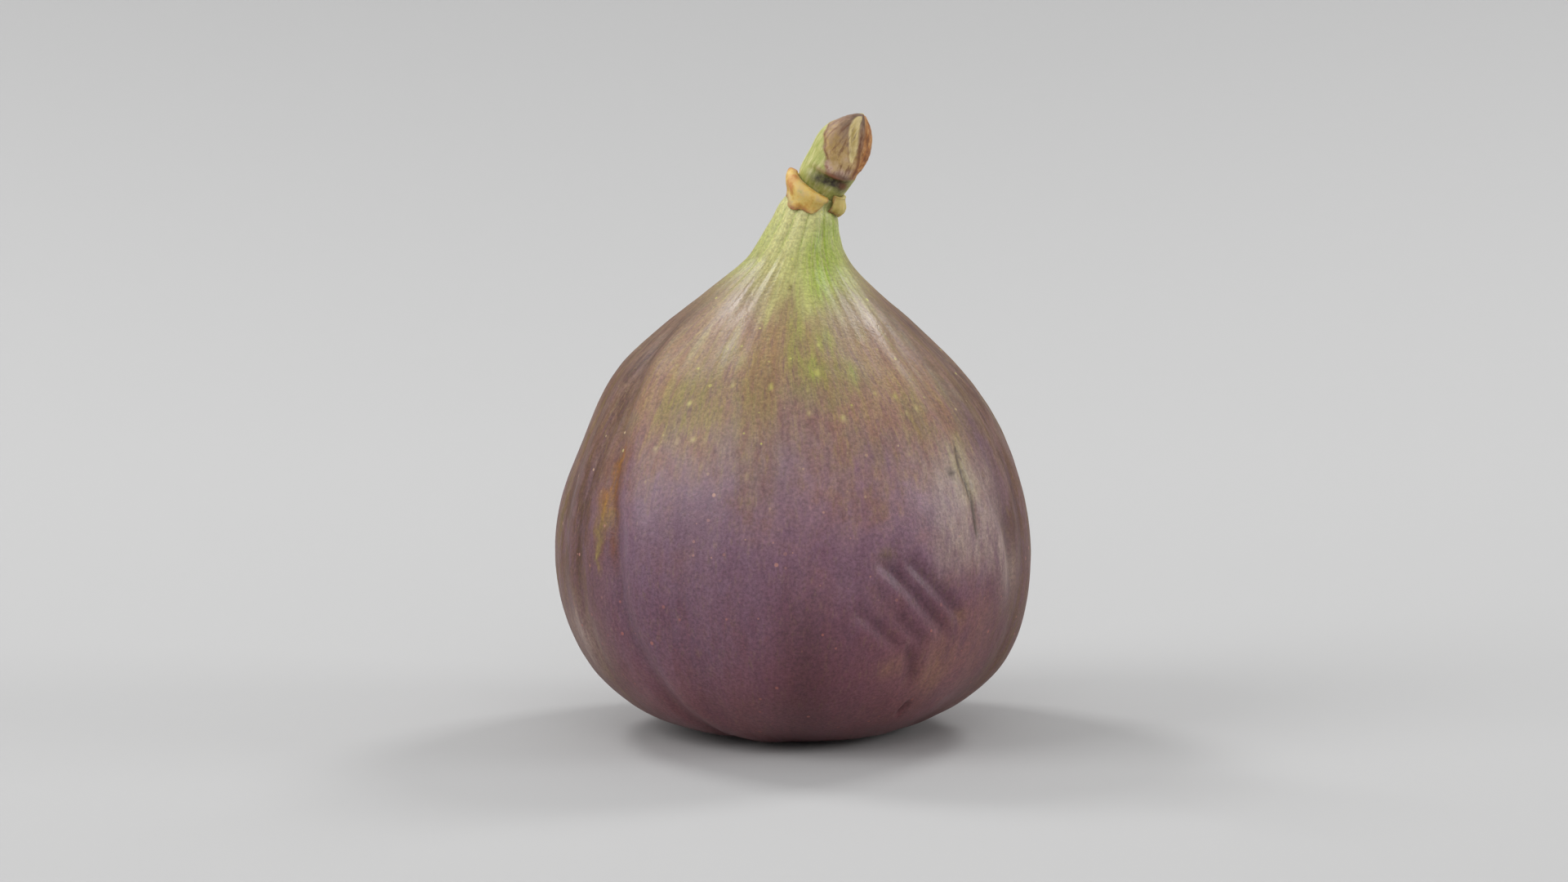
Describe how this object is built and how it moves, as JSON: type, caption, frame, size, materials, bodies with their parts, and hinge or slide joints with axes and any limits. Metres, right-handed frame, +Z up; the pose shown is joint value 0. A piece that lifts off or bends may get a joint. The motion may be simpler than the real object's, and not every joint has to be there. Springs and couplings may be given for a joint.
{
  "type": "fresh fig",
  "caption": "Whole fresh fig as picked: a teardrop fruit with a ribbed neck, a short cut stalk, bracts at the joint and a scaly eye under the flat base it stands on.",
  "frame": {"origin": "on the resting plane, under the middle of the fig's bounding box", "axes": "+Z up along the fruit's axis to the neck, -Y the side seen in the picture, +X the side that the stalk leans to"},
  "size_m": [0.052, 0.052, 0.0674],
  "materials": {
    "skin": "semi-gloss waxy skin",
    "stalk": "matte rind",
    "bract": "matte dry scale",
    "eye": "matte dry scale"
  },
  "bodies": {
    "root": {"fruit": "skin", "stalk": "stalk", "bract_front": "bract", "bract_right": "bract", "bract_back": "bract", "eye_scales": "eye"}
  },
  "joints": []
}
